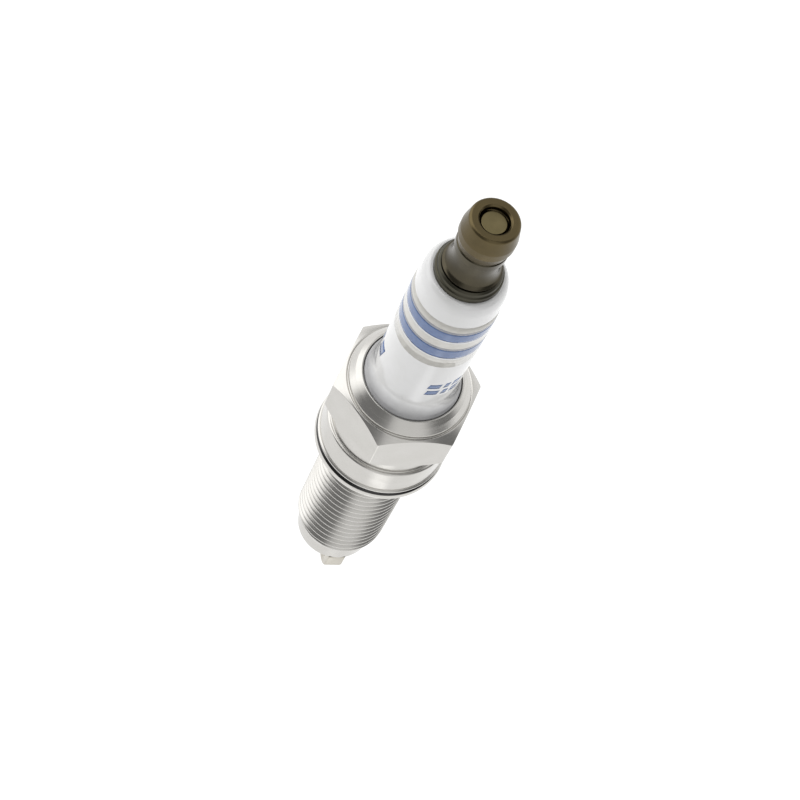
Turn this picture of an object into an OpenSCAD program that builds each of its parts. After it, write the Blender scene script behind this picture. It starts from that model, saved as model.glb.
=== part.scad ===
// Resistor spark plug with a fine-wire firing tip, a captive crush gasket and a screw-on terminal nut.
// Millimetres. +Z runs along the plug towards the terminal, and z = 0 is the gasket's sealing face.

/* [Mounting thread] */
// Major diameter of the mounting thread
thread_d = 12; // [11.9:0.05:12.1]
// Distance between neighbouring thread crests
thread_pitch = 1.25; // [1.2:0.05:1.25]
// Number of crests along the thread
thread_turns = 17; // [12:1:17]
// Height of the first crest, just below the gasket
thread_top_z = -2.07; // [-2.3:0.05:-2]
// Length of the shell below the sealing face
reach = 26.5; // [26:0.5:27]
// Diameter of the smooth nose below the thread
nose_d = 10.24; // [10.1:0.05:10.4]

/* [Shell] */
// Distance across the flats of the spanner hexagon
hex_af = 16; // [15.8:0.1:16.4]
// Height where the hexagon's flats begin
hex_bottom_z = 9.2; // [9:0.1:9.4]
// Height where the hexagon ends and the crimp begins
hex_top_z = 15.92; // [15.8:0.05:16.1]
// Diameter of the collar that presses on the gasket
collar_d = 16.2; // [16:0.1:16.4]
// Height of the collar's lower face
collar_bottom_z = 1.9; // [1.85:0.05:2]
// Height of the collar's upper edge
collar_top_z = 6.4; // [6.2:0.1:6.6]
// Diameter of the thin neck between the collar and the hexagon
neck_d = 15.1; // [15:0.1:15.3]
// Height of the crimp's crest
crimp_top_z = 17.85; // [17.7:0.05:18]

/* [Gasket] */
// Outer diameter of the crush gasket
gasket_d = 16.9; // [16.6:0.1:17]
// Inner diameter, smaller than the thread so that the gasket stays on the plug
gasket_hole_d = 11.4; // [11.2:0.1:11.5]
// Thickness of the gasket before it is crushed
gasket_h = 1.6; // [1.5:0.05:1.6]
// Thickness of the folded sheet
gasket_sheet = 0.34; // [0.3:0.02:0.36]

/* [Insulator] */
// Diameter of the insulator above the shell
insulator_d = 10.4; // [10.2:0.1:10.5]
// Height of the insulator's top face
insulator_top_z = 42.6; // [42:0.1:43]
// Diameter of the insulator inside the crimp
insulator_foot_d = 12; // [11.9:0.1:12]
// Diameter of the insulator's widest part, inside the shell
insulator_flange_d = 13.4; // [13.3:0.05:13.4]
// Diameter of the long stem inside the thread
insulator_stem_d = 8.2; // [8.1:0.05:8.2]
// How far the insulator's tip stands out of the shell
insulator_tip_out = 0.5; // [0.3:0.1:0.6]

/* [Terminal] */
// Diameter of the terminal nut's head, where the cap's spring clips on
head_d = 6.5; // [6.3:0.1:6.6]
// Height of the terminal nut's top face
head_top_z = 53.6; // [53.4:0.1:53.8]
// Major diameter of the terminal stud's thread
stud_d = 4; // [3.9:0.1:4]
// Pitch of the terminal stud's thread
stud_pitch = 0.7; // [0.6:0.05:0.7]
// Diameter of the terminal stud's flange
stud_flange_d = 8.04; // [7.8:0.1:8.1]

/* [Electrodes] */
// Diameter of the centre electrode
electrode_d = 2.34; // [2.2:0.02:2.34]
// Diameter of the fine-wire firing tip
tip_d = 0.4; // [0.4:0.05:0.6]
// Height of the firing tip's end
tip_end_z = -28.75; // [-28.9:0.05:-28.6]
// Gap between the firing tip and the pad on the ground electrode
spark_gap = 0.85; // [0.7:0.05:1]
// Width of the ground electrode's strap
strap_w = 2.4; // [2.3:0.1:2.8]
// Thickness of the ground electrode's strap
strap_t = 1.3; // [1.2:0.05:1.35]
// Direction in which the ground electrode stands, measured from +X
strap_angle = -62; // [-180:1:180]

/* [Hidden] */

$fn = 96;
arc_steps = 8;
sliver = 0.01;

// Thread proportions of the ISO metric profile
crest_share = 1 / 8;
root_share = 1 / 4;
thread_depth = (1 - crest_share - root_share) * thread_pitch / 2 / tan(30);
thread_r = thread_d / 2;
thread_root_r = thread_r - thread_depth;
thread_end_z = thread_top_z - (thread_turns - 1) * thread_pitch;

// Bores of the shell, from the top down
shell_bore_r = insulator_flange_d / 2 + 0.05;
stem_bore_r = insulator_stem_d / 2 + 0.05;
ledge_r = 3.55;
nose_bore_r = 4;
crimp_lip_r = insulator_foot_d / 2 + 0.1;

// The insulator's seat: both cones lie on lines z = r - seat_line
seat_line_insulator = 16;
seat_line_shell = 16.5;

// Bores of the insulator
seal_bore_r = 1.9;
wire_bore_r = electrode_d / 2 + 0.03;
seal_bore_end_z = -8.6;
filling_r = seal_bore_r - 0.03;

// Stack inside the insulator, each piece a hair from the next
stack_gap = 0.05;
electrode_head_z = -7.5;
lower_seal_top_z = -3.2;
resistor_h = 12;
upper_seal_h = 4;
resistor_z = lower_seal_top_z + stack_gap;
upper_seal_z = resistor_z + resistor_h + stack_gap;
stud_foot_z = upper_seal_z + upper_seal_h + stack_gap;

// Rings and talc between the insulator and the shell. The insulator's foot has a slight draft, so it is wider
// lower down, and the lower ring lies in the corner between the foot and the flange's 45 degree edge.
foot_draft = 0.1;
packing_inner_r = insulator_foot_d / 2 + foot_draft + 0.02;
packing_outer_r = shell_bore_r - 0.02;
ring_r = (packing_inner_r + packing_outer_r) / 2;
ring_wire_r = (packing_outer_r - packing_inner_r) / 2 - 0.01;
flange_top_z = 10.2;
lower_ring_z = flange_top_z + insulator_flange_d / 2 - ring_r + (ring_wire_r + 0.01) * sqrt(2);
upper_ring_z = 16.4;

flange_z = insulator_top_z + 0.05;
flange_h = 1.35;
nut_bottom_z = flange_z + flange_h + 0.15;
strap_inner_z = tip_end_z - spark_gap - 0.15;
strap_outer_r = 5.05;
strap_bend_r = 1.3;
pocket_r = 0.62;

// Points of an ellipse's arc about (cr, cz), from angle a0 to a1
function arc(cr, cz, rr, rz, a0, a1, steps = arc_steps) =
    [for (i = [0:steps]) let (a = a0 + (a1 - a0) * i / steps) [cr + rr * cos(a), cz + rz * sin(a)]];

// A solid of revolution about Z from its half section
module turned(section) {
    rotate_extrude() polygon(section);
}

// Rings of an external thread, each cut between one crest and the next
module thread_grooves(r, pitch, turns, top_z) {
    depth = (1 - crest_share - root_share) * pitch / 2 / tan(30);
    half_crest = crest_share * pitch / 2;
    half_root = root_share * pitch / 2;
    for (i = [0:turns - 2])
        translate([0, 0, top_z - (i + 0.5) * pitch])
            turned([
                [r + 1, half_crest - pitch / 2], [r + 1, pitch / 2 - half_crest],
                [r, pitch / 2 - half_crest], [r - depth, half_root],
                [r - depth, -half_root], [r, half_crest - pitch / 2]
            ]);
}

// ---- Terminal ----

module terminal_nut() {
    head_r = head_d / 2;
    bore_r = stud_d / 2 + 0.04;
    neck_r = 2.75;
    lip_r = 1.72;
    color("#6e6446") turned(concat(
        [[bore_r, nut_bottom_z], [3.3, nut_bottom_z], [3.45, nut_bottom_z + 0.15]],
        arc(3.5, 46.7, 3.5 - neck_r, 2.3, 268, 180),
        [[neck_r, 47.7], [2.98, 47.9], [3.02, 48.05], [3.02, 48.75], [2.88, 48.9], [2.97, 49.1]],
        [[head_r, 50.3], [head_r, 51.4], [2.92, 53.05]],
        arc(2.42, 53.05, 0.5, head_top_z - 53.05, 0, 90, 4),
        [[lip_r + 0.2, head_top_z], [lip_r, head_top_z - 0.2], [lip_r, head_top_z - 0.7]],
        [[bore_r, head_top_z - 0.75]]
    ));
}

module terminal_stud() {
    stud_r = stud_d / 2;
    stud_turns = 11;
    flange_r = stud_flange_d / 2;
    flange_top = flange_z + flange_h;
    first_groove_z = 52.1;
    color("#4f4c40") difference() {
        turned(concat(
            [[0, stud_foot_z], [1.35, stud_foot_z], [1.72, stud_foot_z + 0.4]],
            [[1.72, 18.4], [1.5, 18.7], [1.5, 40.9], [1.84, 41.2], [1.84, flange_z]],
            [[flange_r - 0.1, flange_z], [flange_r, flange_z + 0.1], [flange_r - 0.06, flange_z + 0.68]],
            [[3.78, flange_z + 0.78], [3.66, flange_z + 1.2], [3.5, flange_top], [1.6, flange_top]],
            [[1.6, flange_top + 0.4], [stud_r, flange_top + 0.7], [stud_r, 52.3]],
            [[1.6, 52.7], [1.42, 53.02], [0, 53.16]]
        ));
        thread_grooves(stud_r, stud_pitch, stud_turns, first_groove_z);
        for (i = [0:4])
            translate([0, 0, stud_foot_z + 1.1 + i * 0.9])
                turned([[1.55, 0], [2.5, -0.3], [2.5, 0.3]]);
    }
}

// ---- Insulator and what it holds ----

module insulator() {
    body_r = insulator_d / 2;
    foot_r = insulator_foot_d / 2;
    wide_r = insulator_flange_d / 2;
    stem_r = insulator_stem_d / 2;
    tip_z = -reach - insulator_tip_out;
    color("#eceae4") turned(concat(
        [[wire_bore_r, tip_z], [1.85, tip_z]],
        arc(1.95, tip_z + 0.45, 0.45, 0.45, 270, 350, 5),
        [[3.3, -13.3], [3.4, 3.4 - seat_line_insulator], [stem_r, stem_r - seat_line_insulator]],
        [[stem_r, 2.4], [wide_r, 2.4 + wide_r - stem_r]],
        [[wide_r, flange_top_z], [foot_r + foot_draft, flange_top_z + wide_r - foot_r - foot_draft]],
        [[foot_r, 17.7]],
        arc(body_r + 0.9, 20.4, 0.9, 2.6, 262, 180),
        [[body_r, 37.2], [5.03, 40.3]],
        arc(4.2, 40.7, 0.82, insulator_top_z - 40.7, 0, 90),
        [[seal_bore_r, insulator_top_z], [seal_bore_r, seal_bore_end_z]],
        [[wire_bore_r, seal_bore_end_z + wire_bore_r - seal_bore_r]]
    ));
}

module upper_glass_seal() {
    color("#6b4a3a") translate([0, 0, upper_seal_z]) cylinder(r = filling_r, h = upper_seal_h);
}

module resistor() {
    color("#2d2d30") translate([0, 0, resistor_z]) cylinder(r = filling_r, h = resistor_h);
}

module lower_glass_seal() {
    seal_z = electrode_head_z + stack_gap;
    color("#6b4a3a") translate([0, 0, seal_z]) cylinder(r = filling_r, h = lower_seal_top_z - seal_z);
}

// ---- Centre electrode ----

module centre_electrode() {
    wire_r = electrode_d / 2;
    head_r = 1.65;
    seat_z = seal_bore_end_z - seal_bore_r + 0.1;
    neck_z = tip_end_z + 0.95;
    color("#9a9a96") turned([
        [0, neck_z], [0.5, neck_z], [wire_r, neck_z + 0.6], [wire_r, seat_z + wire_r],
        [head_r, seat_z + head_r], [head_r, electrode_head_z], [pocket_r, electrode_head_z],
        [pocket_r, -25.6], [0, -25.6]
    ]);
}

module electrode_core() {
    core_bottom_z = -25.55;
    color("#b87348") translate([0, 0, core_bottom_z])
        cylinder(r = pocket_r - 0.02, h = electrode_head_z - core_bottom_z);
}

module tip_weld() {
    color("#85858a") translate([0, 0, tip_end_z + 0.65]) cylinder(r1 = 0.24, r2 = 0.45, h = 0.3);
}

module firing_tip() {
    color("#c9c9cc") translate([0, 0, tip_end_z]) cylinder(d = tip_d, h = 0.65);
}

// ---- Shell ----

module shell_profile() {
    nose_r = nose_d / 2;
    relief_r = 5.3;
    collar_r = collar_d / 2;
    neck_r = neck_d / 2;
    crest_half = crest_share * thread_pitch / 2;
    // The nose, the thread's full-diameter blank and the relief under the collar
    turned([
        [0, -reach], [nose_r - 0.35, -reach], [nose_r, -reach + 0.35], [nose_r, thread_end_z - 1.6],
        [thread_root_r, thread_end_z - 0.9], [thread_r, thread_end_z - crest_half],
        [thread_r, thread_top_z + crest_half], [relief_r, thread_top_z + crest_half + 0.4],
        [relief_r, collar_bottom_z + sliver], [0, collar_bottom_z + sliver]
    ]);
    // The collar with its lip, the thin neck and the rolled crimp
    turned(concat(
        [[0, collar_bottom_z], [collar_r + 0.1, collar_bottom_z], [collar_r + 0.2, collar_bottom_z + 0.1]],
        [[collar_r + 0.2, collar_bottom_z + 0.3], [collar_r, collar_bottom_z + 0.42]],
        [[collar_r - 0.1, collar_top_z - 0.35]],
        arc(collar_r - 0.45, collar_top_z - 0.35, 0.35, 0.35, 0, 80, 4),
        [[neck_r, collar_top_z], [neck_r, hex_bottom_z], [neck_r, hex_top_z + 0.1]],
        [[neck_r - 0.02, hex_top_z + 0.22], [neck_r - 0.06, hex_top_z + 0.4], [neck_r - 0.2, hex_top_z + 0.58]],
        [[6.9, crimp_top_z - 0.62], [6.45, crimp_top_z - 0.1], [6.32, crimp_top_z]],
        [[crimp_lip_r, crimp_top_z - 0.06], [0, crimp_top_z - 0.06]]
    ));
}

// The hexagon, turned down at both ends to a slightly domed chamfer
module shell_hexagon() {
    flat_r = hex_af / 2;
    corner_r = flat_r / cos(30);
    chamfer_slope = 0.8;
    dome_r = (flat_r + corner_r) / 2 * sqrt(1 + 1 / (chamfer_slope * chamfer_slope));
    rise = sqrt(dome_r * dome_r - flat_r * flat_r);
    low_z = hex_bottom_z - 0.6;
    intersection() {
        translate([0, 0, low_z]) rotate(30) cylinder(r = corner_r, h = hex_top_z + 0.12 - low_z, $fn = 6);
        translate([0, 0, hex_top_z - rise]) sphere(r = dome_r);
        translate([0, 0, hex_bottom_z + rise]) sphere(r = dome_r);
    }
}

module shell_bore() {
    lip_under_z = 16.65;
    cone_z = 4.85;
    turned([
        [0, crimp_top_z + 1], [crimp_lip_r, crimp_top_z + 1], [crimp_lip_r, lip_under_z + 0.45],
        [shell_bore_r, lip_under_z], [shell_bore_r, cone_z],
        [stem_bore_r, cone_z - shell_bore_r + stem_bore_r], [stem_bore_r, stem_bore_r - seat_line_shell],
        [ledge_r, ledge_r - seat_line_shell], [ledge_r, -14.2], [nose_bore_r, -14.65],
        [nose_bore_r, -reach - 1], [0, -reach - 1]
    ]);
}

module shell() {
    color("#bfbcb2") difference() {
        union() {
            shell_profile();
            shell_hexagon();
        }
        shell_bore();
        thread_grooves(thread_r, thread_pitch, thread_turns, thread_top_z);
    }
}

// ---- Seals between the insulator and the shell ----

module sealing_ring(z) {
    translate([0, 0, z]) rotate_extrude() translate([ring_r, 0]) circle(r = ring_wire_r, $fn = 24);
}

module upper_sealing_ring() {
    color("#8d8d8d") sealing_ring(upper_ring_z);
}

module lower_sealing_ring() {
    color("#8d8d8d") sealing_ring(lower_ring_z);
}

module talc_packing() {
    low_z = lower_ring_z + ring_wire_r + 0.03;
    high_z = upper_ring_z - ring_wire_r - 0.03;
    color("#ddd9cc") turned([
        [packing_inner_r, low_z], [packing_outer_r, low_z], [packing_outer_r, high_z], [packing_inner_r, high_z]
    ]);
}

module seat_washer() {
    inner_r = ledge_r + 0.05;
    outer_r = insulator_stem_d / 2;
    upper_line = seat_line_insulator + 0.05;
    lower_line = seat_line_shell - 0.05;
    color("#9c8a6a") turned([
        [inner_r, inner_r - lower_line], [outer_r, outer_r - lower_line],
        [outer_r, outer_r - upper_line], [inner_r, inner_r - upper_line]
    ]);
}

// ---- Crush gasket: a sheet ring folded three times ----

module crush_gasket() {
    t = gasket_sheet;
    mid_z = gasket_h / 2;
    outer_fold_r = gasket_h / 2;
    fold_r = gasket_d / 2 - outer_fold_r;
    inner_fold_r = (mid_z + t / 2) / 2;
    inner_r = gasket_hole_d / 2 + inner_fold_r;
    color("#c9c7bf") turned(concat(
        [[6.3, gasket_h - t], [6.3, gasket_h]],
        arc(fold_r, mid_z, outer_fold_r, outer_fold_r, 90, -90, 12),
        arc(inner_r, inner_fold_r, inner_fold_r, inner_fold_r, 270, 90),
        [[7.3, mid_z + t / 2], [7.3, mid_z - t / 2]],
        arc(inner_r, inner_fold_r, inner_fold_r - t, inner_fold_r - t, 90, 270),
        arc(fold_r, mid_z, outer_fold_r - t, outer_fold_r - t, -90, 90, 12)
    ));
}

// ---- Ground electrode ----

// Rounded bar section, x across the thickness from the inner face outwards, y along the width
module strap_section() {
    edge_r = 0.25;
    polygon(concat(
        arc(strap_t - edge_r, strap_w / 2 - edge_r, edge_r, edge_r, 0, 90, 4),
        arc(edge_r, strap_w / 2 - edge_r, edge_r, edge_r, 90, 180, 4),
        arc(edge_r, edge_r - strap_w / 2, edge_r, edge_r, 180, 270, 4),
        arc(strap_t - edge_r, edge_r - strap_w / 2, edge_r, edge_r, 270, 360, 4)
    ));
}

module ground_electrode() {
    bend_x = strap_outer_r - strap_t - strap_bend_r;
    bend_z = strap_inner_z + strap_bend_r;
    end_x = -0.95;
    color("#8f8d86") rotate(strap_angle) difference() {
        union() {
            translate([strap_outer_r - strap_t, 0, bend_z]) linear_extrude(-reach - bend_z) strap_section();
            translate([bend_x, 0, bend_z]) rotate([90, 0, 0]) rotate_extrude(angle = -90)
                translate([strap_bend_r, 0]) strap_section();
            translate([end_x, 0, strap_inner_z]) rotate([0, 90, 0]) linear_extrude(bend_x - end_x) strap_section();
        }
        // Tapered free end
        for (side = [-1, 1])
            translate([end_x, side * (strap_w / 2 - 0.45), strap_inner_z - strap_t - 0.5])
                rotate(side * 14) translate([-2, side > 0 ? 0 : -2, 0]) cube([4, 2, strap_t + 1]);
    }
}

module ground_pad() {
    color("#d2d0cc") translate([0, 0, strap_inner_z]) cylinder(r = 0.45, h = 0.15);
}

terminal_nut();
terminal_stud();
insulator();
upper_glass_seal();
resistor();
lower_glass_seal();
centre_electrode();
electrode_core();
tip_weld();
firing_tip();
shell();
upper_sealing_ring();
talc_packing();
lower_sealing_ring();
seat_washer();
crush_gasket();
ground_electrode();
ground_pad();
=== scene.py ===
import math

import bmesh
import bpy
from mathutils import Matrix, Vector


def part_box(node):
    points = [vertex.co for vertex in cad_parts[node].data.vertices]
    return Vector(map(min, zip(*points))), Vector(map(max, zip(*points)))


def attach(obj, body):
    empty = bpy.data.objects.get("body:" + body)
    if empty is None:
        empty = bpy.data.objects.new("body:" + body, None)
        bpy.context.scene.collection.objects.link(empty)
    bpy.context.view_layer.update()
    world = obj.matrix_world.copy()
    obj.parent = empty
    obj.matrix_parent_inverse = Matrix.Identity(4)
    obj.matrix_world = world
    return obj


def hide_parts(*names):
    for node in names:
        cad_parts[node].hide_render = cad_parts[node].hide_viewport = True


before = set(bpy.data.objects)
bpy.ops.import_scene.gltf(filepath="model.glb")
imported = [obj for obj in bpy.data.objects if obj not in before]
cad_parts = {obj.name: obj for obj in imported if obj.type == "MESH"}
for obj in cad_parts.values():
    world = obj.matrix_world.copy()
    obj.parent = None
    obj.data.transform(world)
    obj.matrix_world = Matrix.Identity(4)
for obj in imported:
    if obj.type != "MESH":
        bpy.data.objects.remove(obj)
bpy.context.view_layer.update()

MM = 0.001


def cad_span(node):
    """Lowest and highest z of a CAD node, in millimetres."""
    low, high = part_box(node)
    return low.z / MM, high.z / MM


def cad_radius(node):
    """Largest distance from the axis along X of a CAD node, in millimetres."""
    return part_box(node)[1].x / MM


# ---------------------------------------------------------------- driving sizes, from the frame

SHELL_LOW, SHELL_HIGH = cad_span("shell")
INSULATOR_LOW, INSULATOR_HIGH = cad_span("insulator")
NUT_LOW, NUT_HIGH = cad_span("terminal_nut")
STUD_LOW, STUD_HIGH = cad_span("terminal_stud")
TIP_LOW, TIP_HIGH = cad_span("firing_tip")
WELD_LOW, WELD_HIGH = cad_span("tip_weld")
WIRE_LOW, WIRE_HIGH = cad_span("centre_electrode")
PAD_LOW, PAD_HIGH = cad_span("ground_pad")
STRAP_LOW, STRAP_HIGH = cad_span("ground_electrode")
GASKET_HIGH = cad_span("crush_gasket")[1]
GASKET_R = cad_radius("crush_gasket")
FLANGE_R = cad_radius("terminal_stud")
HEAD_R = 3.25

SIXTH = math.radians(60)
HEX_FLAT_R = 8.0
HEX_EDGE_ROUND = 0.3
HEX_CHAMFER_SLOPE = 0.8
HEX_BOTTOM_Z = 9.2
HEX_TOP_Z = 15.92
HEX_TOP_R = 7.85
HEX_CORNER_R = HEX_FLAT_R / math.cos(SIXTH / 2)
# Radius of the spheres that the chamfers lie on, and distance from the axis to the centre of an edge's round
HEX_DOME_R = (HEX_FLAT_R + HEX_CORNER_R) / 2 * math.sqrt(1 + HEX_CHAMFER_SLOPE ** -2)
HEX_EDGE_D = (HEX_FLAT_R - HEX_EDGE_ROUND) / math.cos(SIXTH / 2)

THREAD_R = 6.0
THREAD_PITCH = 1.25
THREAD_DEPTH = 0.677
THREAD_START_Z = -1.55
THREAD_END_Z = -23.1
THREAD_CREST_Z = -2.07
THREAD_FADES = (0.9, 1.3)
NOSE_R = 5.12

COLLAR_R = 8.1
COLLAR_LOW = 1.9
COLLAR_HIGH = 6.4
NECK_R = 7.55
RELIEF_R = 5.3
STEM_BORE_R = 4.15
LIP_R = 6.1

STUD_PITCH = 0.7

BODY_R = 5.2
BODY_TAPER_Z = 37.2
BODY_TAPER_SLOPE = 0.17 / 3.1
GLAZE_END_Z = -11.9
# Painted shade: the grey on the insulator's foot next to the crimp fades out between these heights
FOOT_SHADE_Z = (17.9, 19.9)
# Above this height the gasket is painted nearly black: painted shade in the crevice between the gasket and
# the collar
CREVICE_SHADE_Z = 1.22

PRINT_PROUD = 0.012
PRINT_SINK = 0.01
# Rings of ink: name, lower and upper height, material, height above the glaze
PRINT_BANDS = [
    ("label_ground", 29.75, 39.1, "grey", PRINT_PROUD / 2),
    ("label_blue_upper", 35.72, 37.4, "blue", PRINT_PROUD),
    ("label_blue_lower", 31.95, 33.75, "blue", PRINT_PROUD),
    ("label_line_upper", 37.42, 37.8, "dark", PRINT_PROUD),
    ("label_line_lower", 33.77, 34.15, "dark", PRINT_PROUD),
    ("label_white_upper", 35.4, 35.7, "ceramic", PRINT_PROUD),
    ("label_white_lower", 31.6, 31.93, "ceramic", PRINT_PROUD),
]
# Plain bars in place of lettering: azimuth in degrees, heights of the rows, widths of the bars, bar height
PRINT_MARKS = [
    (-43, (24.4, 22.9), (1.5, 0.7, 1.1), 0.95),
    (-172, (22.4,), (1.2, 0.8, 1.6), 2.3),
]
PRINT_GAP = 0.45
PRINT_LEAN = 0.25

STRAP_ANGLE = math.radians(-62)
STRAP_W = 2.4
STRAP_T = 1.3
STRAP_OUTER_R = 5.05
STRAP_BEND_R = 1.3
STRAP_END_X = -0.95
STRAP_ROOT = 0.3
# The arm narrows by this share, over this length from this distance off the axis
STRAP_TAPER, STRAP_TAPER_LENGTH, STRAP_TAPER_X = 0.26, 1.9, 0.9

# ---------------------------------------------------------------- outlines

# Distance beyond a fillet at which a point keeps the smooth shading flat
SUPPORT = 0.03
# Largest shares of a side that a fillet, and a fillet with its support point, may take
FILLET_SHARE = 0.46
SUPPORT_SHARE = 0.49
NEARLY_STRAIGHT = math.radians(89.9)
NO_BISECTOR = 1e-4


def fillet(start, end, centre, steps):
    """Points on the arc about centre from start to end."""
    spoke_a = start - centre
    spoke_b = end - centre
    sweep = max(spoke_a.angle(spoke_b), 1e-5)
    points = []
    for s in range(steps + 1):
        t = s / steps
        weight_a = math.sin((1 - t) * sweep) / math.sin(sweep)
        weight_b = math.sin(t * sweep) / math.sin(sweep)
        points.append(centre + spoke_a * weight_a + spoke_b * weight_b)
    return points


def rounded(corners, closed=True):
    """Points of an outline from corners (r, z, fillet radius, steps). A corner with steps 0 stays as it is.
    Every corner gives the same number of points whatever its angle, so that neighbouring columns match."""
    points = []
    count = len(corners)
    for i, (r, z, radius, steps) in enumerate(corners):
        here = Vector((r, z))
        if steps == 0 or (not closed and i in (0, count - 1)):
            points.append(here)
            continue
        to_before = Vector(corners[i - 1][:2]) - here
        to_after = Vector(corners[(i + 1) % count][:2]) - here
        room_before = to_before.length
        room_after = to_after.length
        to_before.normalize()
        to_after.normalize()
        slope = math.tan(min(to_before.angle(to_after) / 2, NEARLY_STRAIGHT))
        reach = min(radius / slope, FILLET_SHARE * room_before, FILLET_SHARE * room_after)
        start = here + to_before * reach
        end = here + to_after * reach
        points.append(here + to_before * min(reach + SUPPORT, SUPPORT_SHARE * room_before))
        bisector = to_before + to_after
        if bisector.length < NO_BISECTOR:
            points.extend(start.lerp(end, s / steps) for s in range(steps + 1))
        else:
            centre = here + bisector.normalized() * math.hypot(reach, reach * slope)
            points.extend(fillet(start, end, centre, steps))
        points.append(here + to_after * min(reach + SUPPORT, SUPPORT_SHARE * room_after))
    return [(p.x, p.y) for p in points]


def arc(centre_r, centre_z, radius_r, radius_z, start, end, steps=16):
    """Points on an ellipse's arc from start to end, in degrees."""
    angles = [math.radians(start + (end - start) * i / steps) for i in range(steps + 1)]
    return [(centre_r + radius_r * math.cos(a), centre_z + radius_z * math.sin(a)) for a in angles]


def smooth(x):
    """0 below 0, 1 above 1, and a smooth step between."""
    x = min(max(x, 0.0), 1.0)
    return x * x * (3 - 2 * x)


def thread_height(from_crest):
    """Height of a thread's flank, 0 at the root to 1 at the crest, at a share of the pitch from the crest: a
    straight flank, with a part of a smooth one that rounds the crest and the root."""
    straight = min(max((0.385 - from_crest) / 0.31, 0), 1)
    return smooth((0.4 - from_crest) / 0.36) * 0.35 + straight * 0.65


def thread_rows(angle, top_z, bottom_z, pitch, crest_r, depth, crest_z, fades, rows_per_turn=20):
    """(r, z) down the side of a right-handed thread, faded out over fades = (top, bottom) lengths."""
    rows = max(2, round((top_z - bottom_z) / pitch * rows_per_turn))
    points = []
    for i in range(rows + 1):
        z = top_z + (bottom_z - top_z) * i / rows
        phase = (z - crest_z) / pitch - angle / math.tau
        height = thread_height(abs(phase - round(phase)))
        fade = smooth((top_z - z) / fades[0]) * smooth((z - bottom_z) / fades[1])
        points.append((crest_r - depth + depth * height * fade, z))
    return points


# ---------------------------------------------------------------- meshes

# Points closer than this are one point, in metres
SAME_POINT = 1e-8


def finish_piece(name, body, replaced, bm):
    """Makes a smooth-shaded piece from a bmesh, joins it to its body and names what it replaces."""
    bmesh.ops.remove_doubles(bm, verts=bm.verts, dist=SAME_POINT)
    bmesh.ops.recalc_face_normals(bm, faces=bm.faces)
    mesh = bpy.data.meshes.new(name)
    bm.to_mesh(mesh)
    bm.free()
    for polygon in mesh.polygons:
        polygon.use_smooth = True
    piece = bpy.data.objects.new(name, mesh)
    bpy.context.scene.collection.objects.link(piece)
    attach(piece, body)
    if replaced:
        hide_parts(replaced)
    return piece


def revolve(name, body, outline, replaced=None, angles=None, columns=192, closed=True):
    """A piece turned about the axis. outline is a list of (r, z), or a function of the angle that gives one.
    A closed outline makes a ring, and an open one has to start and end on the axis."""
    angles = angles or [math.tau * i / columns for i in range(columns)]
    bm = bmesh.new()
    grid = []
    for angle in angles:
        points = outline(angle) if callable(outline) else outline
        turn_x, turn_y = math.cos(angle), math.sin(angle)
        grid.append([bm.verts.new((r * turn_x * MM, r * turn_y * MM, z * MM)) for r, z in points])
    rows = len(grid[0])
    for i, column in enumerate(grid):
        following = grid[(i + 1) % len(grid)]
        for j in range(rows if closed else rows - 1):
            k = (j + 1) % rows
            bm.faces.new((column[j], following[j], following[k], column[k]))
    return finish_piece(name, body, replaced, bm)


# ---------------------------------------------------------------- materials


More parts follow.
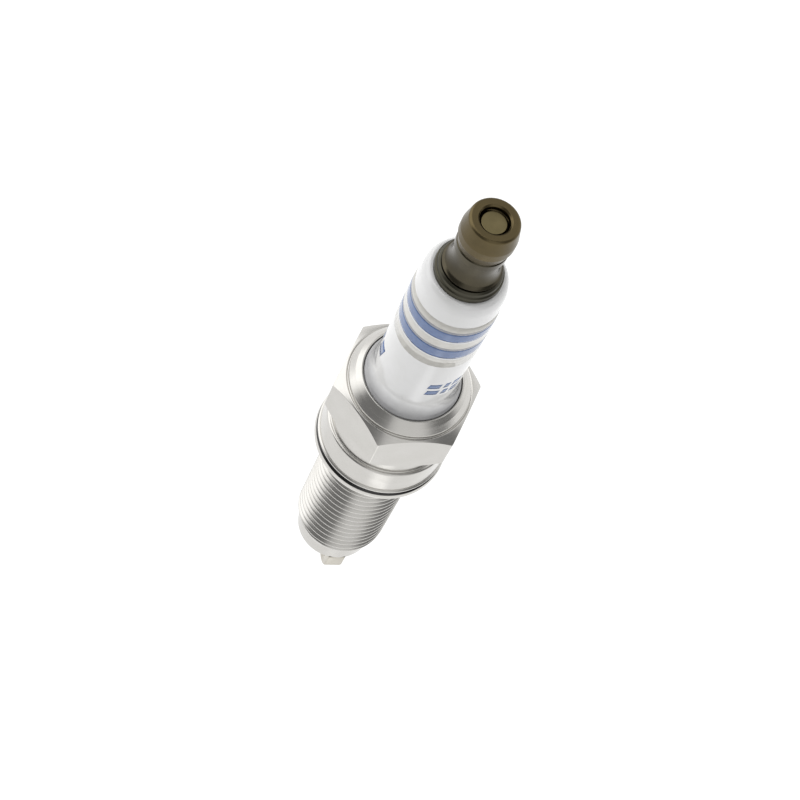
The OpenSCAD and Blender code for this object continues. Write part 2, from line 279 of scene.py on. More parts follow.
class Nodes:
    """A short way to write a node material, with coordinates in millimetres in the plug's frame."""

    def __init__(self, name):
        self.material = bpy.data.materials.new(name)
        self.material.use_nodes = True
        self.tree = self.material.node_tree
        self.shader = self.tree.nodes["Principled BSDF"]
        coordinates = self.tree.nodes.new("ShaderNodeTexCoord")
        scale = self.add("ShaderNodeVectorMath", operation="SCALE")
        self.link(coordinates.outputs["Object"], scale.inputs[0])
        scale.inputs["Scale"].default_value = 1 / MM
        self.place = scale.outputs[0]
        split = self.add("ShaderNodeSeparateXYZ")
        self.link(self.place, split.inputs[0])
        self.x, self.y, self.z = split.outputs
        across = self.math("ADD", self.math("POWER", self.x, 2), self.math("POWER", self.y, 2))
        self.radius = self.math("SQRT", across)

    def add(self, kind, **settings):
        made = self.tree.nodes.new(kind)
        for key, value in settings.items():
            setattr(made, key, value)
        return made

    def link(self, source, target):
        self.tree.links.new(source, target)

    def put(self, value, socket):
        if isinstance(value, bpy.types.NodeSocket):
            self.link(value, socket)
        else:
            socket.default_value = value

    def math(self, operation, first, second=0.0):
        made = self.add("ShaderNodeMath", operation=operation)
        self.put(first, made.inputs[0])
        self.put(second, made.inputs[1])
        return made.outputs[0]

    def noise(self, scale, detail=3.0, place=None, roughness=0.5):
        made = self.add("ShaderNodeTexNoise")
        self.link(place or self.place, made.inputs["Vector"])
        made.inputs["Scale"].default_value = scale
        made.inputs["Detail"].default_value = detail
        made.inputs["Roughness"].default_value = roughness
        return made.outputs["Fac"]

    def turned_place(self):
        """Coordinates that vary with radius and height and hardly around the axis, for a lathe's marks."""
        joined = self.add("ShaderNodeCombineXYZ")
        self.put(self.radius, joined.inputs[0])
        self.put(self.math("MULTIPLY", self.x, 0.04), joined.inputs[1])
        self.put(self.z, joined.inputs[2])
        return joined.outputs[0]

    def ramp(self, value, low, high, low_out=0.0, high_out=1.0):
        made = self.add("ShaderNodeMapRange")
        self.put(value, made.inputs["Value"])
        made.inputs["From Min"].default_value = low
        made.inputs["From Max"].default_value = high
        made.inputs["To Min"].default_value = low_out
        made.inputs["To Max"].default_value = high_out
        return made.outputs[0]

    def blend(self, factor, first, second):
        """A mix of two colours."""
        made = self.add("ShaderNodeMix", data_type="RGBA")
        self.put(factor, made.inputs["Factor"])
        self.put(first, made.inputs[6])
        self.put(second, made.inputs[7])
        return made.outputs[2]

    def bump(self, height, strength, distance_mm):
        made = self.add("ShaderNodeBump")
        self.link(height, made.inputs["Height"])
        made.inputs["Strength"].default_value = strength
        made.inputs["Distance"].default_value = distance_mm * MM
        self.link(made.outputs[0], self.shader.inputs["Normal"])

    def set(self, **values):
        for key, value in values.items():
            self.put(value, self.shader.inputs[key.replace("_", " ")])


def rgb(red, green, blue):
    """A shader colour from display values of 0 to 255."""

    def linear(value):
        value /= 255
        return value / 12.92 if value <= 0.04045 else ((value + 0.055) / 1.055) ** 2.4

    return (linear(red), linear(green), linear(blue), 1.0)


def turned_metal(name, light, dark, rough, marks=0.25, stain=0.35, grain=9.0, crevice_shade_z=None):
    """Plated or bare turned metal: fine lathe lines, cloudy plating and small pits, with painted shade in the
    crevice above the given height, nearly black, if that is given."""
    m = Nodes(name)
    cloud = m.noise(0.35, 4.0)
    lines = m.noise(grain, 2.0, place=m.turned_place(), roughness=0.6)
    pits = m.noise(14.0, 2.0)
    tint = m.blend(m.ramp(cloud, 0.35, 0.7, 0.0, stain), light, dark)
    if crevice_shade_z is not None:
        # Painted shade: the colour goes nearly black above the given height, in place of the crevice's shadow
        tint = m.blend(m.ramp(m.z, crevice_shade_z, crevice_shade_z + 0.04, 0.0, 0.93), tint, rgb(30, 30, 32))
    m.set(Base_Color=tint, Metallic=1.0)
    rough_cloud = m.ramp(cloud, 0.3, 0.7, rough * 0.85, rough * 1.2)
    m.set(Roughness=m.math("ADD", rough_cloud, m.ramp(lines, 0.3, 0.7, -0.04, 0.05)))
    m.bump(m.math("ADD", lines, m.math("MULTIPLY", pits, 0.25)), marks, 0.004)
    return m.material


def glazed_ceramic():
    """White alumina under clear glaze: a faint cream cloud, tiny specks, a very slight ripple, and painted
    shade, grey on the foot's flare next to the crimp."""
    m = Nodes("glazed_ceramic")
    cloud = m.noise(0.25, 3.0)
    specks = m.noise(6.0, 1.0)
    base = m.blend(m.ramp(cloud, 0.35, 0.7), rgb(220, 220, 220), rgb(215, 215, 214))
    base = m.blend(m.ramp(specks, 0.76, 0.82, 0.0, 0.25), base, rgb(190, 184, 172))
    # Painted shade: the flare above the crimp is tinted grey, fading out upwards along a noisy edge, and not
    # below about 10.5 mm
    foot_shade_height = m.math("ADD", m.z, m.ramp(m.noise(0.8, 3.0), 0.3, 0.7, -0.15, 0.15))
    above = m.ramp(foot_shade_height, FOOT_SHADE_Z[0], FOOT_SHADE_Z[1], 0.75, 0.0)
    base = m.blend(m.math("MULTIPLY", above, m.ramp(m.z, 10.0, 11.0)), base, rgb(134, 134, 136))
    m.set(Base_Color=base, Roughness=m.ramp(cloud, 0.3, 0.7, 0.09, 0.13), IOR=1.55)
    m.set(Coat_Weight=0.6, Coat_Roughness=0.04)
    m.bump(m.noise(0.9, 2.0), 0.12, 0.01)
    return m.material


def bare_ceramic():
    """The unglazed firing nose: matte and slightly mottled."""
    m = Nodes("bare_ceramic")
    grain = m.noise(5.0, 4.0)
    base = m.blend(m.ramp(grain, 0.35, 0.7), rgb(236, 234, 228), rgb(222, 218, 210))
    m.set(Base_Color=base, Roughness=m.ramp(grain, 0.3, 0.7, 0.5, 0.62))
    m.bump(grain, 0.3, 0.008)
    return m.material


def fired_ink(name, light, dark):
    """Enamel ink fired under the glaze: slightly uneven cover."""
    m = Nodes(name)
    cover = m.noise(1.8, 4.0)
    m.set(Base_Color=m.blend(m.ramp(cover, 0.35, 0.68), light, dark))
    m.set(Roughness=m.ramp(cover, 0.3, 0.7, 0.14, 0.22), Coat_Weight=0.5, Coat_Roughness=0.05)
    m.bump(cover, 0.1, 0.004)
    return m.material


def matte_filling(name, light, dark, rough=0.85):
    """Glass seals, resistor mass and pressed talc: coarse grains in two tones."""
    m = Nodes(name)
    grains = m.noise(4.0, 5.0)
    m.set(Base_Color=m.blend(m.ramp(grains, 0.4, 0.62), light, dark))
    m.set(Roughness=m.ramp(grains, 0.3, 0.7, rough - 0.1, rough + 0.05))
    m.bump(grains, 0.5, 0.03)
    return m.material


MATERIALS = {
    "shell": turned_metal("nickel_plating", rgb(197, 195, 191), rgb(184, 182, 176), 0.2, marks=0.12),
    # The gasket's top carries painted shade in the crevice under the collar
    "gasket": turned_metal(
        "plated_sheet", rgb(205, 203, 199), rgb(190, 188, 183), 0.2, marks=0.1, crevice_shade_z=CREVICE_SHADE_Z),
    "nut": turned_metal("bronze_plating", rgb(96, 85, 60), rgb(82, 73, 53), 0.3, marks=0.15, stain=0.7),
    "nut_skirt": turned_metal(
        "bronze_plating_dull", rgb(80, 75, 62), rgb(63, 59, 50), 0.18, marks=0.15, stain=0.7),
    "stud": turned_metal("dark_plating", rgb(76, 74, 64), rgb(62, 60, 53), 0.28, marks=0.15, stain=0.6),
    "stud_end": turned_metal("bronze_stained_end", rgb(118, 108, 78), rgb(96, 88, 62), 0.34, stain=0.7),
    "nickel": turned_metal(
        "nickel_alloy", rgb(196, 192, 182), rgb(164, 158, 146), 0.33, marks=0.3, stain=0.6),
    "iridium": turned_metal("precious_metal", rgb(214, 214, 218), rgb(196, 196, 202), 0.2, marks=0.15),
    "weld": turned_metal(
        "laser_weld", rgb(158, 154, 160), rgb(120, 116, 130), 0.38, marks=0.6, stain=0.8, grain=5.0),
    "copper": turned_metal("copper", rgb(214, 148, 110), rgb(184, 110, 78), 0.3, stain=0.6),
    "steel": turned_metal("plain_steel", rgb(176, 176, 174), rgb(150, 149, 146), 0.36, stain=0.6),
    "ceramic": glazed_ceramic(),
    "nose": bare_ceramic(),
    "blue": fired_ink("blue_ink", rgb(80, 109, 158), rgb(70, 97, 146)),
    "grey": fired_ink("grey_ink", rgb(206, 204, 198), rgb(198, 196, 189)),
    "dark": fired_ink("dark_grey_ink", rgb(140, 142, 150), rgb(126, 128, 138)),
    "glass": matte_filling("copper_glass", rgb(122, 82, 62), rgb(84, 58, 48)),
    "resistor": matte_filling("resistor_mass", rgb(58, 58, 62), rgb(34, 34, 38)),
    "talc": matte_filling("pressed_talc", rgb(232, 228, 216), rgb(210, 204, 190)),
}


def dress(piece, *keys):
    """Gives a piece its materials, in slot order."""
    piece.data.materials.clear()
    for key in keys:
        piece.data.materials.append(MATERIALS[key])
    return piece


def dress_part(piece, low_z, high_z):
    """Gives the faces between two heights the piece's second material."""
    for polygon in piece.data.polygons:
        if low_z < polygon.center.z / MM < high_z:
            polygon.material_index = 1


# ---------------------------------------------------------------- terminal


def terminal_nut():
    """The screw-on terminal: a head with a recess in its top, a plain ring, a flared skirt and an M4 bore."""
    bore_r, hole_r, face_r, recess_r, skirt_r = 2.04, 1.72, 2.84, 1.94, 3.45
    head_low, head_high = 50.3, 51.4
    ring_r, ring_low, ring_high = 3.02, 47.86, 48.82
    neck_r, neck_high = 2.75, ring_low - 0.2
    groove_r, groove_z = 2.86, 48.94
    thread_depth, thread_crest_z = 0.3, 44.4
    rim = [(HEAD_R, head_low, 0.25, 6), (HEAD_R, head_high, 0.5, 8), (face_r, NUT_HIGH + 0.01, 0.42, 12)]
    recess = [(recess_r, NUT_HIGH, 0.1, 4), (hole_r + 0.02, NUT_HIGH - 0.22, 0.06, 3),
              (hole_r, NUT_HIGH - 0.7, 0.04, 3)]
    skirt = [(bore_r + 0.25, NUT_LOW, 0.05, 3), (skirt_r - 0.15, NUT_LOW, 0.08, 4),
             (skirt_r, NUT_LOW + 0.15, 0.08, 4)]
    ring = [(ring_r, ring_low, 0.1, 4), (ring_r, ring_high, 0.08, 4), (groove_r, groove_z, 0.06, 4),
            (groove_r + 0.1, groove_z + 0.14, 0.06, 4)]
    flare = arc(skirt_r + 0.05, 46.6, 0.75, 2.25, 266, 184)
    bottom = rounded([(bore_r, NUT_LOW + 0.25, 0, 0), *skirt, (*flare[0], 0, 0)], closed=False)
    upper = rounded([(*flare[-1], 0, 0), (neck_r, neck_high, 0.12, 5), *ring, *rim, *recess,
                     (bore_r, NUT_HIGH - 0.75, 0, 0)], closed=False)

    def outline(angle):
        rows = thread_rows(-angle, NUT_HIGH - 0.8, NUT_LOW + 0.3, STUD_PITCH, bore_r, thread_depth,
                           thread_crest_z, (0.4, 0.4), 12)
        return bottom + flare[1:-1] + upper + [(2 * bore_r - r, z) for r, z in rows]

    piece = revolve("nut", "nut", outline, "terminal_nut", columns=128)
    dress(piece, "nut", "nut_skirt")
    dress_part(piece, 0, groove_z + 0.01)


def terminal_stud():
    """The stud: a foot in the upper seal, a long stem, the flange on the insulator and the M4 thread."""
    thread_r, thread_depth, thread_crest_z = 2.0, 0.43, 45.0
    thread_high, end_low = 52.7, 52.75
    root_r, stem_r, foot_r, point_r, shoulder_r = 1.58, 1.5, 1.7, 1.35, 1.84
    foot_high, stem_low, stem_high, shoulder_low = 18.4, 18.7, 40.9, 41.2
    step_r, boss_r, face_r = 3.78, 3.7, 3.5
    flange_z = INSULATOR_HIGH + 0.05
    flange_top = flange_z + 1.35
    foot = [(0, STUD_LOW, 0, 0), (point_r, STUD_LOW, 0.1, 4), (foot_r, STUD_LOW + 0.4, 0.1, 4),
            (foot_r, foot_high, 0.1, 4), (stem_r, stem_low, 0.1, 4), (stem_r, stem_high, 0.1, 4),
            (shoulder_r, shoulder_low, 0.1, 4)]
    flange = [(shoulder_r, flange_z, 0.04, 3), (FLANGE_R - 0.06, flange_z, 0.06, 4),
              (FLANGE_R, flange_z + 0.08, 0.06, 4), (FLANGE_R - 0.06, flange_z + 0.66, 0.1, 5),
              (step_r, flange_z + 0.76, 0.05, 4), (boss_r, flange_z + 1.15, 0.12, 5),
              (face_r, flange_top, 0.06, 4), (root_r, flange_top, 0.08, 4), (root_r, flange_top + 0.35, 0, 0)]
    end = [(stem_r, end_low, 0, 0), (stem_r - 0.06, STUD_HIGH - 0.14, 0.08, 4),
           (0.25, STUD_HIGH - 0.02, 0.1, 4), (0, STUD_HIGH, 0, 0)]
    lower = rounded(foot + flange, closed=False)
    upper = rounded(end, closed=False)

    def outline(angle):
        thread = thread_rows(angle, thread_high, flange_top + 0.36, STUD_PITCH, thread_r, thread_depth,
                             thread_crest_z, (0.5, 0.7), 16)
        return lower + thread[::-1] + upper

    piece = revolve("stud", "plug", outline, "terminal_stud", columns=128, closed=False)
    dress(piece, "stud", "stud_end")
    dress_part(piece, thread_high + 0.02, STUD_HIGH + 1)


# ---------------------------------------------------------------- insulator and its printed bands


def insulator_radius(z):
    """Radius of the insulator's visible part, from the label down to the foot's flare."""
    return BODY_R - BODY_TAPER_SLOPE * max(z - BODY_TAPER_Z, 0)


def insulator():
    """The ceramic in one piece: firing nose, stem, wide foot under the crimp, body and rounded shoulder."""
    foot_r, wide_r, stem_r, seat_r = 6.0, 6.7, 4.1, 3.4
    tip_r, cone_low_r, cone_high_r = 2.22, 2.5, 3.3
    cone_low, cone_high, seat_low = -26.0, -13.3, -12.6
    stem_high, wide_low, wide_high, foot_low, foot_high = 2.4, 5.0, 10.2, 10.9, 17.7
    flare_r, flare_z, flare_height = 0.9, 20.4, 2.6
    shoulder_centre_r, shoulder_r, shoulder_z = 4.2, 0.82, 40.7
    wire_bore_r, seal_bore_r, seal_bore_low, wire_bore_high = 1.2, 1.9, -8.6, -9.3
    nose = [(wire_bore_r, INSULATOR_LOW, 0.1, 4), (tip_r, INSULATOR_LOW, 0.42, 8),
            (cone_low_r, cone_low, 0.3, 4), (cone_high_r, cone_high, 0.3, 4), (seat_r, seat_low, 0.1, 4),
            (stem_r, GLAZE_END_Z, 0.15, 5), (stem_r, stem_high, 0.3, 5), (wide_r, wide_low, 0.3, 5),
            (wide_r, wide_high, 0.2, 5), (foot_r, foot_low, 0.2, 5), (foot_r, foot_high, 0, 0)]
    flare = arc(BODY_R + flare_r, flare_z, flare_r, flare_height, 262, 180, 24)
    shoulder = arc(shoulder_centre_r, shoulder_z, shoulder_r, INSULATOR_HIGH - shoulder_z, 0, 90, 32)
    body = [(*flare[-1], 0, 0), (BODY_R, BODY_TAPER_Z, 3.0, 8), (*shoulder[0], 0, 0)]
    bore = [(*shoulder[-1], 0, 0), (seal_bore_r, INSULATOR_HIGH, 0.1, 4),
            (seal_bore_r, seal_bore_low, 0.1, 4), (wire_bore_r, wire_bore_high, 0.1, 4),
            (wire_bore_r, INSULATOR_LOW + 0.12, 0, 0)]
    outline = (rounded(nose, closed=False) + flare[1:-1] + rounded(body, closed=False)
               + shoulder[1:-1] + rounded(bore, closed=False))
    piece = revolve("insulator_body", "plug", outline, "insulator", columns=256)
    dress(piece, "ceramic", "nose")
    dress_part(piece, INSULATOR_LOW - 1, GLAZE_END_Z)


def print_band(name, low_z, high_z, material, proud):
    """A ring of ink around the insulator, a few hundredths of a millimetre thick."""
    steps = 6
    heights = [low_z + (high_z - low_z) * i / steps for i in range(steps + 1)]
    outer = [(insulator_radius(z) + proud, z) for z in heights]
    inner = [(insulator_radius(z) - PRINT_SINK, z) for z in reversed(heights)]
    dress(revolve(name, "plug", outer + inner, columns=256), material)


def print_mark(name, azimuth, low_z, width, height):
    """A plain slanted bar of ink on the insulator, wrapped around it."""
    across, up = 6, 3
    bm = bmesh.new()
    layers = []
    for proud in (PRINT_PROUD, -PRINT_SINK):
        grid = []
        for j in range(up + 1):
            z = low_z + height * j / up
            radius = insulator_radius(z) + proud
            row = []
            for i in range(across + 1):
                arc_length = width * (i / across - 0.5) + PRINT_LEAN * height * (j / up - 0.5)
                angle = azimuth + arc_length / BODY_R
                turn_x, turn_y = math.cos(angle), math.sin(angle)
                row.append(bm.verts.new((radius * turn_x * MM, radius * turn_y * MM, z * MM)))
            grid.append(row)
        for j in range(up):
            for i in range(across):
                bm.faces.new((grid[j][i], grid[j][i + 1], grid[j + 1][i + 1], grid[j + 1][i]))
        layers.append(grid)
    top, bottom = layers
    rim = [(0, i) for i in range(across)] + [(j, across) for j in range(up)]
    rim += [(up, i) for i in range(across, 0, -1)] + [(j, 0) for j in range(up, 0, -1)]
    for (j, i), (k, m) in zip(rim, rim[1:] + rim[:1]):
        bm.faces.new((top[j][i], bottom[j][i], bottom[k][m], top[k][m]))
    dress(finish_piece(name, "plug", None, bm), "blue")


def printing():
    """The bands around the insulator, and the rows of bars below them."""
    for name, low_z, high_z, material, proud in PRINT_BANDS:
        print_band(name, low_z, high_z, material, proud)
    for place, (azimuth, rows, bars, height) in enumerate(PRINT_MARKS):
        along = -(sum(bars) + PRINT_GAP * (len(bars) - 1)) / 2
        for i, width in enumerate(bars):
            centre = math.radians(azimuth) + (along + width / 2) / BODY_R
            for j, low_z in enumerate(rows):
                print_mark(f"mark_{place}_{j}_{i}", centre, low_z, width, height)
            along += width + PRINT_GAP


# ---------------------------------------------------------------- shell


def hex_columns(flat_steps=22, edge_steps=8):
    """Angles around the axis, closer together at the hexagon's rounded edges."""
    near_edge = 0.985
    flat_end = math.atan(HEX_EDGE_D * math.sin(SIXTH / 2) / HEX_FLAT_R)
    edge = SIXTH - 2 * flat_end
    inside = [2 * i / flat_steps - 1 for i in range(1, flat_steps)]
    angles = []
    for side in range(6):
        middle = SIXTH * side
        angles += [middle + flat_end * s for s in (-1, -near_edge, *inside, near_edge, 1)]
        angles += [middle + flat_end + edge * i / edge_steps for i in range(1, edge_steps)]
    return angles


def hex_radius(angle):
    """Distance from the axis to the hexagon's side, whose flats face +X and every 60 degrees."""
    off = abs((angle + SIXTH / 2) % SIXTH - SIXTH / 2)
    if math.tan(off) * HEX_FLAT_R <= HEX_EDGE_D * math.sin(SIXTH / 2):
        return HEX_FLAT_R / math.cos(off)
    from_edge = SIXTH / 2 - off
    across = HEX_EDGE_D * math.sin(from_edge)
    return HEX_EDGE_D * math.cos(from_edge) + math.sqrt(max(HEX_EDGE_ROUND ** 2 - across ** 2, 0))


def hex_drop(radius):
    """How far the domed chamfer has dropped at a radius, measured from the middle of the flats."""
    return math.sqrt(HEX_DOME_R ** 2 - HEX_FLAT_R ** 2) - math.sqrt(HEX_DOME_R ** 2 - radius ** 2)


def shell_nose():
    """From the bore's lower part, over the ledge that the insulator sits on, to the thread's lower end."""
    ledge_r, nose_bore_r = 3.55, 4.0
    return rounded([
        (STEM_BORE_R, -12.35, 0, 0), (ledge_r, -12.95, 0.1, 3), (ledge_r, -14.2, 0.1, 3),
        (nose_bore_r, -14.65, 0.1, 3), (nose_bore_r, SHELL_LOW, 0.08, 3), (NOSE_R - 0.05, SHELL_LOW, 0.3, 6),
        (NOSE_R, -23.9, 0.3, 5), (THREAD_R - THREAD_DEPTH, THREAD_END_Z - 0.02, 0, 0)], closed=False)


def shell_collar():
    """From the relief above the thread, over the collar with its small lip, to the neck under the hexagon."""
    rim_r = COLLAR_R + 0.2
    return rounded([
        (RELIEF_R, THREAD_START_Z + 0.3, 0, 0), (RELIEF_R, COLLAR_LOW, 0.2, 5),
        (rim_r - 0.06, COLLAR_LOW, 0.06, 4), (rim_r, COLLAR_LOW + 0.12, 0.06, 4),
        (rim_r, COLLAR_LOW + 0.3, 0.06, 4),
        (COLLAR_R, COLLAR_LOW + 0.42, 0.05, 4), (COLLAR_R - 0.1, COLLAR_HIGH, 0.3, 8),
        (NECK_R, COLLAR_HIGH + 0.12, 0.14, 5), (NECK_R, HEX_BOTTOM_Z + hex_drop(NECK_R) - SUPPORT, 0, 0)],
        closed=False)


def shell_crimp():
    """From the top of the hexagon over the rolled crimp to its lip at the insulator."""
    crimp_r = NECK_R - 0.03
    base_z = HEX_TOP_Z + 0.1
    return rounded([
        (crimp_r, base_z, 0, 0), (crimp_r, base_z + SUPPORT, 0, 0), (crimp_r, HEX_TOP_Z + 0.5, 0.2, 8),
        (6.9, SHELL_HIGH - 0.6, 0.6, 8), (6.3, SHELL_HIGH + 0.01, 0.12, 6),
        (LIP_R, SHELL_HIGH - 0.06, 0.04, 4), (LIP_R, SHELL_HIGH - 0.3, 0, 0)], closed=False)


def shell_bore():
    """The bore, from the crimp's lip down to the insulator's stem."""
    bore_r = 6.75
    return rounded([
        (LIP_R, SHELL_HIGH - 0.32, 0, 0), (LIP_R, 17.1, 0.1, 3), (bore_r, 16.65, 0.1, 3),
        (bore_r, 4.85, 0.2, 4), (STEM_BORE_R, 2.25, 0.2, 4), (STEM_BORE_R, -12.33, 0, 0)], closed=False)


def hexagon(side_r, above):
    """One column of the hexagon, from the neck below it to the point above, where the side is side_r away."""
    chamfer_steps = 6
    low = [(r, HEX_BOTTOM_Z + hex_drop(r)) for r in (
        NECK_R + (side_r - NECK_R) * share for share in (0, 0.05, 0.2, 0.4, 0.6, 0.8))]
    high = [(r, HEX_TOP_Z - hex_drop(r)) for r in (
        side_r + (HEX_TOP_R - side_r) * i / chamfer_steps for i in range(1, chamfer_steps + 1))]
    side = rounded([
        (*low[-1], 0, 0), (side_r, HEX_BOTTOM_Z + hex_drop(side_r), 0.12, 5),
        (side_r, HEX_TOP_Z - hex_drop(side_r), 0.1, 5), (*high[0], 0, 0)], closed=False)
    step = rounded([
        (*high[-1], 0, 0), (HEX_TOP_R - 0.05, HEX_TOP_Z + 0.12, 0.03, 3),
        (HEX_TOP_R - 0.23, HEX_TOP_Z + 0.06, 0.04, 3), (*above, 0, 0)], closed=False)
    return low + side[1:-1] + high + step[1:-1]


def shell():
    """The shell in one piece, with its right-handed thread."""
    nose, collar, crimp, bore = shell_nose(), shell_collar(), shell_crimp(), shell_bore()

    def outline(angle):
        thread = thread_rows(angle, THREAD_START_Z, THREAD_END_Z, THREAD_PITCH, THREAD_R, THREAD_DEPTH,
                             THREAD_CREST_Z, THREAD_FADES)
        return nose + thread[::-1] + collar + hexagon(hex_radius(angle), crimp[0]) + crimp[1:-1] + bore

    dress(revolve("shell_body", "plug", outline, "shell", angles=hex_columns()), "shell")


def gasket():
    """A ring folded from sheet metal, with an outer and an inner fold."""
    sheet = 0.34
    end_round = 0.05
    upper_end_r, lower_end_r, hole_r = 6.3, 7.3, 5.7
    mid_z = GASKET_HIGH / 2
    leaf_top = mid_z + sheet / 2
    leaf_bottom = mid_z - sheet / 2
    fold_r = GASKET_R - mid_z
    inner_fold = leaf_top / 2
    inner_r = hole_r + inner_fold
    outline = (
        [(upper_end_r, GASKET_HIGH - sheet), (upper_end_r - end_round, GASKET_HIGH - sheet / 2),
         (upper_end_r, GASKET_HIGH)]
        + arc(fold_r, mid_z, mid_z, mid_z, 90, -90, 28)
        + arc(inner_r, inner_fold, inner_fold, inner_fold, 270, 90, 16)
        + [(lower_end_r, leaf_top), (lower_end_r + end_round, mid_z), (lower_end_r, leaf_bottom)]
        + arc(inner_r, inner_fold, inner_fold - sheet, inner_fold - sheet, 90, 270, 12)
        + arc(fold_r, mid_z, mid_z - sheet, mid_z - sheet, -90, 90, 20))
    dress(revolve("gasket_ring", "gasket", outline, "crush_gasket"), "gasket")


# ---------------------------------------------------------------- electrodes


def strap_section(width, thickness, corner=0.25, steps=5):
    """(across, out) points around the strap's rounded section, from its inner face outwards."""
    points = []
    for centre_x, centre_y, start in [
            (width / 2 - corner, thickness - corner, 0), (corner - width / 2, thickness - corner, 90),
            (corner - width / 2, corner, 180), (width / 2 - corner, corner, 270)]:
        points += arc(centre_x, centre_y, corner, corner, start, start + 90, steps)
    return points


def strap_path():
    """(x, z, turn) of the strap's inner face: down the leg, round the bend and along the arm to its end."""
    leg_steps, bend_steps, arm_steps = 6, 14, 10
    bend_x = STRAP_OUTER_R - STRAP_T - STRAP_BEND_R
    bend_z = STRAP_LOW + STRAP_T + STRAP_BEND_R
    root_z = STRAP_HIGH + STRAP_ROOT
    arm_end = STRAP_END_X + 0.12
    leg_x = STRAP_OUTER_R - STRAP_T
    path = [(leg_x, root_z + (bend_z - root_z) * i / leg_steps, 0.0) for i in range(leg_steps)]
    for i in range(bend_steps + 1):
        turn = math.radians(90 * i / bend_steps)
        path.append((bend_x + STRAP_BEND_R * math.cos(turn), bend_z - STRAP_BEND_R * math.sin(turn), turn))
    for i in range(1, arm_steps + 1):
        path.append((bend_x + (arm_end - bend_x) * i / arm_steps, bend_z - STRAP_BEND_R, math.pi / 2))
    return path


def ground_electrode():
    """The strap, swept along its path, with a narrowed arm and a softened end."""
    bm = bmesh.new()
    turn_x, turn_y = math.cos(STRAP_ANGLE), math.sin(STRAP_ANGLE)
    middle = STRAP_T / 2

    def ring(x, z, turn, width, shrink=1.0):
        verts = []
        for across, out in strap_section(width, STRAP_T):
            across *= shrink
            out = middle + (out - middle) * shrink
            local_x = x + out * math.cos(turn)
            height = z - out * math.sin(turn)
            verts.append(bm.verts.new(((local_x * turn_x - across * turn_y) * MM,
                                       (local_x * turn_y + across * turn_x) * MM, height * MM)))
        return verts

    path = strap_path()
    rings = []
    for x, z, turn in path:
        narrowing = STRAP_TAPER * smooth((STRAP_TAPER_X - x) / STRAP_TAPER_LENGTH)
        rings.append(ring(x, z, turn, STRAP_W * (1 - narrowing)))
    last_x, last_z, last_turn = path[-1]
    for beyond, shrink in ((0.05, 0.985), (0.095, 0.94), (0.12, 0.86)):
        rings.append(ring(last_x - beyond, last_z, last_turn, STRAP_W * (1 - STRAP_TAPER), shrink))
    for first, second in zip(rings, rings[1:]):
        for i in range(len(first)):
            k = (i + 1) % len(first)
            bm.faces.new((first[i], first[k], second[k], second[i]))
    bm.faces.new(rings[0])
    bm.faces.new(rings[-1][::-1])
    dress(finish_piece("ground_strap", "plug", "ground_electrode", bm), "nickel")


def pin(name, corners, replaced, columns, material):
    """A small turned solid in the middle of the plug, from its axis out and back."""
    outline = rounded(corners, closed=False)
    dress(revolve(name, "plug", outline, replaced, columns=columns, closed=False), material)


def centre_parts():
    """The centre electrode with its head and copper bore, the weld, the fine-wire tip and the strap's pad."""
    wire_r, head_r, core_r = 1.17, 1.65, 0.62
    core_low = -25.6
    weld_low_r, weld_high_r, tip_r, pad_r = 0.25, 0.45, 0.2, 0.45
    pin("centre_wire", [
        (0, WIRE_LOW, 0, 0), (0.5, WIRE_LOW, 0.06, 4), (wire_r, WIRE_LOW + 0.6, 0.1, 5),
        (wire_r, -9.23, 0.05, 4), (head_r, -8.75, 0.05, 4), (head_r, WIRE_HIGH, 0.1, 4),
        (core_r, WIRE_HIGH, 0.03, 3), (core_r, core_low, 0.03, 3), (0, core_low, 0, 0)],
        "centre_electrode", 96, "nickel")
    pin("laser_weld", [
        (0, WELD_LOW, 0, 0), (weld_low_r, WELD_LOW, 0.04, 4), (0.33, WELD_LOW + 0.12, 0.05, 4),
        (weld_high_r, WELD_HIGH - 0.05, 0.05, 4), (weld_high_r - 0.02, WELD_HIGH, 0.02, 3),
        (0, WELD_HIGH, 0, 0)], "tip_weld", 64, "weld")
    pin("fine_wire_tip", [
        (0, TIP_LOW, 0, 0), (tip_r, TIP_LOW, 0.03, 4), (tip_r, TIP_HIGH, 0.01, 2), (0, TIP_HIGH, 0, 0)],
        "firing_tip", 48, "iridium")
    pin("strap_pad", [
        (0, PAD_LOW, 0, 0), (pad_r, PAD_LOW, 0.02, 2), (pad_r, PAD_HIGH, 0.05, 4), (0, PAD_HIGH, 0, 0)],
        "ground_pad", 64, "iridium")


# ---------------------------------------------------------------- build

terminal_nut()
terminal_stud()
insulator()
printing()
shell()
gasket()
ground_electrode()
centre_parts()

INNER_PIECES = {
    "upper_glass_seal": "glass", "lower_glass_seal": "glass", "resistor": "resistor",
    "electrode_core": "copper", "talc_packing": "talc", "upper_sealing_ring": "steel",
    "lower_sealing_ring": "steel", "seat_washer": "steel",
}
for node, key in INNER_PIECES.items():
    dress(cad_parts[node], key)

# ---------------------------------------------------------------- stage, light and camera

FLOOR_Z = -0.16
FLOOR_SIZE = 6.0
FLOOR_GLOW = 0.94
# A brighter pool of light on the floor in front of the plug, which the collar reflects
POOL_PLACE = (0.055, -0.088)
POOL_RADII = (0.012, 0.042)
POOL_GLOW = 1.5
FLOOR_SHADE = 0.2
FLOOR_ROUGH = 0.9
CAMERA_PLACE = (-3.18, -138.06, 246.7)
CAMERA_TARGET = (0, 0, 11.14)
CAMERA_ROLL = math.radians(28.01)
CAMERA_LENS = 101.13
CAMERA_SENSOR = 36
CAMERA_CLIP = 0.01


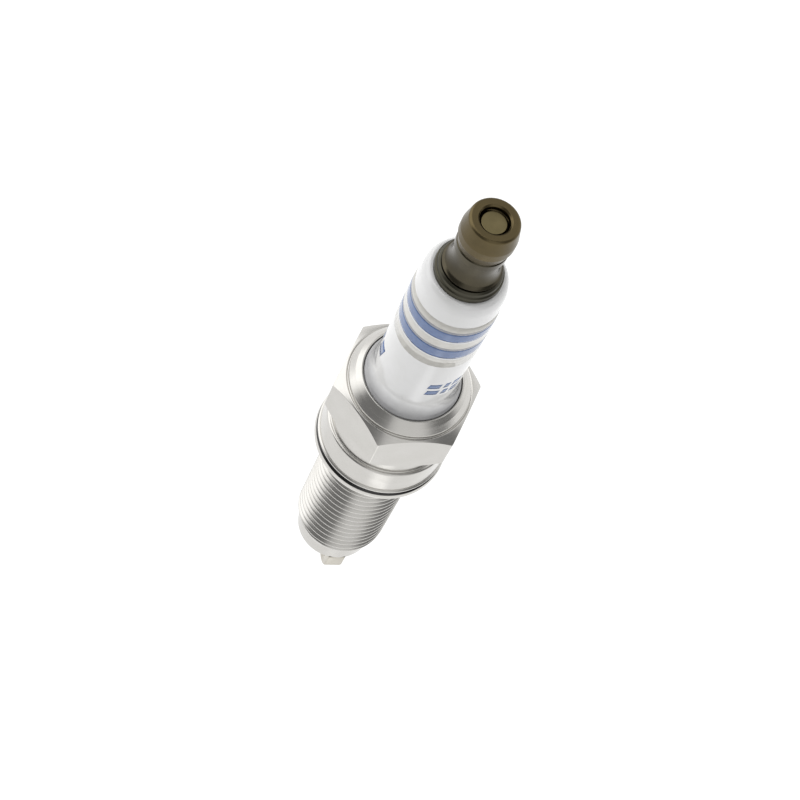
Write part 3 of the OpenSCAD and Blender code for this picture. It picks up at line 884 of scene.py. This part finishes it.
def make_floor():
    """A pale floor with its own even glow, and the brighter pool."""
    mesh = bpy.data.meshes.new("floor")
    half = FLOOR_SIZE / 2
    corners = [(-half, -half, FLOOR_Z), (half, -half, FLOOR_Z), (half, half, FLOOR_Z), (-half, half, FLOOR_Z)]
    mesh.from_pydata(corners, [], [(0, 1, 2, 3)])
    floor = bpy.data.objects.new("floor", mesh)
    bpy.context.scene.collection.objects.link(floor)
    material = bpy.data.materials.new("lit_white_floor")
    material.use_nodes = True
    tree = material.node_tree
    shader = tree.nodes["Principled BSDF"]
    shader.inputs["Base Color"].default_value = (FLOOR_SHADE, FLOOR_SHADE, FLOOR_SHADE, 1)
    shader.inputs["Roughness"].default_value = FLOOR_ROUGH
    shader.inputs["Emission Color"].default_value = (1, 1, 1, 1)
    from_pool = tree.nodes.new("ShaderNodeVectorMath")
    from_pool.operation = "DISTANCE"
    tree.links.new(tree.nodes.new("ShaderNodeTexCoord").outputs["Object"], from_pool.inputs[0])
    from_pool.inputs[1].default_value = (*POOL_PLACE, FLOOR_Z)
    pool = tree.nodes.new("ShaderNodeMapRange")
    pool.interpolation_type = "SMOOTHSTEP"
    tree.links.new(from_pool.outputs["Value"], pool.inputs["Value"])
    pool.inputs["From Min"].default_value, pool.inputs["From Max"].default_value = POOL_RADII
    pool.inputs["To Min"].default_value, pool.inputs["To Max"].default_value = POOL_GLOW, FLOOR_GLOW
    tree.links.new(pool.outputs[0], shader.inputs["Emission Strength"])
    mesh.materials.append(material)


# Tall soft cards around the studio: azimuth, half-widths of the full and faded part in degrees, level
CARDS = [
    (168, 20, 46, 1.4),
    (-122, 12, 40, -0.26),
    (-58, 14, 36, 0.42),
    (-4, 6, 24, -0.26),
    (48, 18, 44, 0.5),
    (104, 10, 40, 0.3),
]
STUDIO_LEVEL = 0.5
DARKEST = 0.06


def make_world():
    """White behind the plug, and around it an even grey room with a few tall bright and dark cards."""
    world = bpy.data.worlds.new("studio")
    bpy.context.scene.world = world
    world.use_nodes = True
    tree = world.node_tree
    link = tree.links.new

    def maths(operation, first, second):
        made = tree.nodes.new("ShaderNodeMath")
        made.operation = operation
        for value, socket in ((first, made.inputs[0]), (second, made.inputs[1])):
            if isinstance(value, bpy.types.NodeSocket):
                link(value, socket)
            else:
                socket.default_value = value
        return made.outputs[0]

    def vector(operation, first, second=(0, 0, 0)):
        made = tree.nodes.new("ShaderNodeVectorMath")
        made.operation = operation
        link(first, made.inputs[0])
        made.inputs[1].default_value = second
        return made.outputs["Value" if operation == "DOT_PRODUCT" else "Vector"]

    around = vector("MULTIPLY", tree.nodes.new("ShaderNodeTexCoord").outputs["Generated"], (1, 1, 0))
    level_direction = vector("NORMALIZE", around)
    total = STUDIO_LEVEL
    for azimuth, full, faded, level in CARDS:
        azimuth = math.radians(azimuth)
        card = tree.nodes.new("ShaderNodeMapRange")
        card.interpolation_type = "SMOOTHSTEP"
        facing = vector("DOT_PRODUCT", level_direction, (math.cos(azimuth), math.sin(azimuth), 0))
        link(facing, card.inputs["Value"])
        card.inputs["From Min"].default_value = math.cos(math.radians(faded))
        card.inputs["From Max"].default_value = math.cos(math.radians(full))
        card.inputs["To Min"].default_value = 0
        card.inputs["To Max"].default_value = level
        total = maths("ADD", card.outputs[0], total)
    behind = tree.nodes.new("ShaderNodeMix")
    link(tree.nodes.new("ShaderNodeLightPath").outputs["Is Camera Ray"], behind.inputs["Factor"])
    link(maths("MAXIMUM", total, DARKEST), behind.inputs["A"])
    behind.inputs["B"].default_value = 1.0
    background = tree.nodes["Background"]
    background.inputs["Color"].default_value = (1, 1, 1, 1)
    link(behind.outputs["Result"], background.inputs["Strength"])


def make_camera():
    """The view from the terminal's end, about 60 degrees up, rolled so that the plug leans to the right."""
    place = Vector(CAMERA_PLACE) * MM
    target = Vector(CAMERA_TARGET) * MM
    forward = (target - place).normalized()
    right = forward.cross(Vector((0, 0, 1))).normalized()
    up = right.cross(forward)
    camera_x = right * math.cos(CAMERA_ROLL) + up * math.sin(CAMERA_ROLL)
    camera_y = up * math.cos(CAMERA_ROLL) - right * math.sin(CAMERA_ROLL)
    lens = bpy.data.cameras.new("camera")
    lens.sensor_width = CAMERA_SENSOR
    lens.lens = CAMERA_LENS
    lens.clip_start = CAMERA_CLIP
    camera = bpy.data.objects.new("camera", lens)
    bpy.context.scene.collection.objects.link(camera)
    turn = Matrix((camera_x, camera_y, -forward)).transposed().to_4x4()
    camera.matrix_world = Matrix.Translation(place) @ turn
    bpy.context.scene.camera = camera


make_floor()
make_world()
make_camera()
bpy.context.scene.view_settings.view_transform = "Standard"
